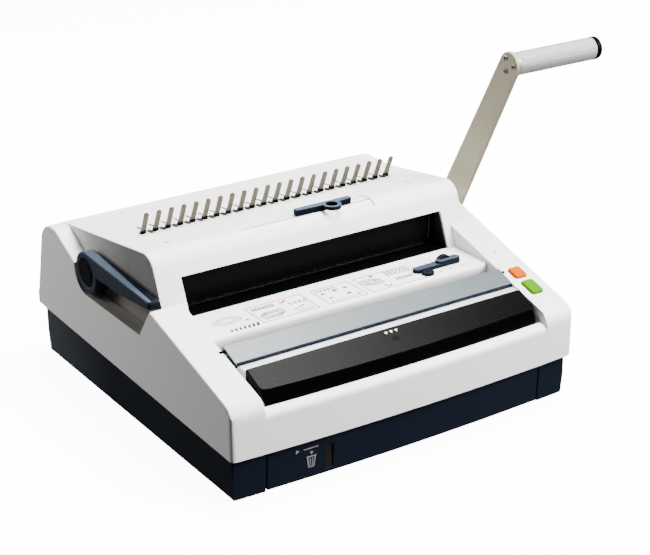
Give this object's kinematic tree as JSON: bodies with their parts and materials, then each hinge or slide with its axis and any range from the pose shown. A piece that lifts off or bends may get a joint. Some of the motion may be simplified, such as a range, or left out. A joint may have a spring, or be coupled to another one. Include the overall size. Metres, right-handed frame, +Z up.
{
  "type": "comb and wire binding machine",
  "caption": "Desk machine that punches paper with a pull handle, opens plastic combs on a row of fingers and closes wire loops with a press bar.",
  "frame": {"origin": "on the table, under the middle of the whole machine's box, handle included", "axes": "+X to the operator's right, +Y from the front to the back, +Z up"},
  "size_m": [0.5254, 0.4118, 0.3369],
  "materials": {
    "white_shell": "fine moulded grain, warm white",
    "navy_base": "fine moulded grain, dark navy",
    "blue_control": "satin, dark blue",
    "black_plastic": "matt black",
    "press_black": "satin black",
    "rubber": "matt",
    "arm_steel": "satin nickel paint",
    "finger_steel": "plated, satin",
    "tool_steel": "ground",
    "sheet_steel": "zinc plated",
    "bright_steel": "turned",
    "anvil_metal": "satin anodised",
    "bronze": "sintered",
    "flap_tint": "smoked clear plastic, drawn as glass",
    "window_tint": "dark clear plastic",
    "button_orange": "satin orange",
    "button_green": "satin green",
    "grip_white": "ribbed, white"
  },
  "bodies": {
    "casing": {"base_tray": "navy_base", "rubber_feet": "rubber", "base_screws": "sheet_steel", "top_cover": "white_shell", "throat_liner": "black_plastic", "left_frame": "sheet_steel", "right_frame": "sheet_steel", "tie_bars": "bright_steel", "frame_screws": "sheet_steel", "die_plate": "tool_steel", "stripper_plate": "tool_steel", "die_spacers": "tool_steel", "guide_posts": "bright_steel", "punch_springs": "bright_steel", "shaft_bushes": "bronze", "lever_bushes": "bronze", "finger_plate": "sheet_steel", "comb_fingers": "finger_steel", "carriage_guides": "black_plastic", "closer_anvil": "anvil_metal", "flap_pins": "bright_steel", "button_bracket": "black_plastic", "comb_button_spring": "bright_steel", "wire_button_spring": "bright_steel", "press_springs": "bright_steel"},
    "punch_handle": {"handle_arm": "arm_steel", "handle_grip": "grip_white", "grip_stud": "bright_steel", "grip_cap": "black_plastic", "grip_screws": "sheet_steel", "punch_shaft": "bright_steel", "punch_cams": "tool_steel", "arm_nut": "sheet_steel"},
    "punch_ram": {"punch_bar": "tool_steel", "punches": "tool_steel", "cam_yokes": "tool_steel"},
    "comb_lever": {"comb_lever": "blue_control", "lever_cap": "blue_control", "lever_shaft": "bright_steel", "lever_cranks": "sheet_steel"},
    "hook_carriage": {"hook_carriage": "sheet_steel", "comb_hooks": "sheet_steel"},
    "stop_slider": {"stop_slider": "blue_control", "stop_clip": "black_plastic"},
    "size_slide": {"size_slide": "blue_control", "size_clip": "black_plastic"},
    "closer_flap": {"closer_flap": "flap_tint"},
    "press_bar": {"press_bar": "press_black"},
    "comb_button": {"comb_button": "button_orange"},
    "wire_button": {"wire_button": "button_green"},
    "chip_drawer": {"chip_drawer": "navy_base", "drawer_window": "window_tint"}
  },
  "joints": [
    {"name": "handle_pull", "type": "hinge", "parent": "casing", "child": "punch_handle", "pos_m": [-0.05975, 0.03905, 0.095], "axis": [1, 0, 0], "range_deg": [0, 60], "stiffness_Nm_per_rad": 1.5, "springref_deg": -28.65},
    {"name": "punch_stroke", "type": "slide", "parent": "casing", "child": "punch_ram", "axis": [0, 0, -1], "range_m": [0, 0.0121], "deforming": ["punch_springs"]},
    {"name": "lever_lift", "type": "hinge", "parent": "casing", "child": "comb_lever", "pos_m": [-0.05975, 0.08455, 0.1325], "axis": [-1, 0, 0], "range_deg": [0, 80]},
    {"name": "hook_travel", "type": "slide", "parent": "casing", "child": "hook_carriage", "axis": [0, 0.9885, -0.1513], "range_m": [0, 0.0232]},
    {"name": "stop_slide", "type": "slide", "parent": "casing", "child": "stop_slider", "axis": [1, 0, 0], "range_m": [-0.085, 0.044]},
    {"name": "size_shift", "type": "slide", "parent": "casing", "child": "size_slide", "axis": [1, 0, 0], "range_m": [-0.011, 0.011]},
    {"name": "flap_lift", "type": "hinge", "parent": "casing", "child": "closer_flap", "pos_m": [-0.05975, -0.12645, 0.11944], "axis": [-1, 0, 0], "range_deg": [0, 112]},
    {"name": "press_stroke", "type": "slide", "parent": "casing", "child": "press_bar", "axis": [0, 0, -1], "range_m": [0, 0.006], "stiffness_N_per_m": 800, "springref_m": -0.004, "deforming": ["press_springs"]},
    {"name": "comb_key", "type": "slide", "parent": "casing", "child": "comb_button", "axis": [0, 0.274, -0.9617], "range_m": [0, 0.0022], "stiffness_N_per_m": 400, "springref_m": -0.002, "deforming": ["comb_button_spring"]},
    {"name": "wire_key", "type": "slide", "parent": "casing", "child": "wire_button", "axis": [0, 0.274, -0.9617], "range_m": [0, 0.0022], "stiffness_N_per_m": 400, "springref_m": -0.002, "deforming": ["wire_button_spring"]},
    {"name": "drawer_pull", "type": "slide", "parent": "casing", "child": "chip_drawer", "axis": [0, -1, 0], "range_m": [0, 0.22]}
  ],
  "couplings": [
    {"joint": "punch_stroke", "follows": "handle_pull", "m_per_rad": 0.011459},
    {"joint": "hook_travel", "follows": "lever_lift", "m_per_rad": 0.016573}
  ]
}
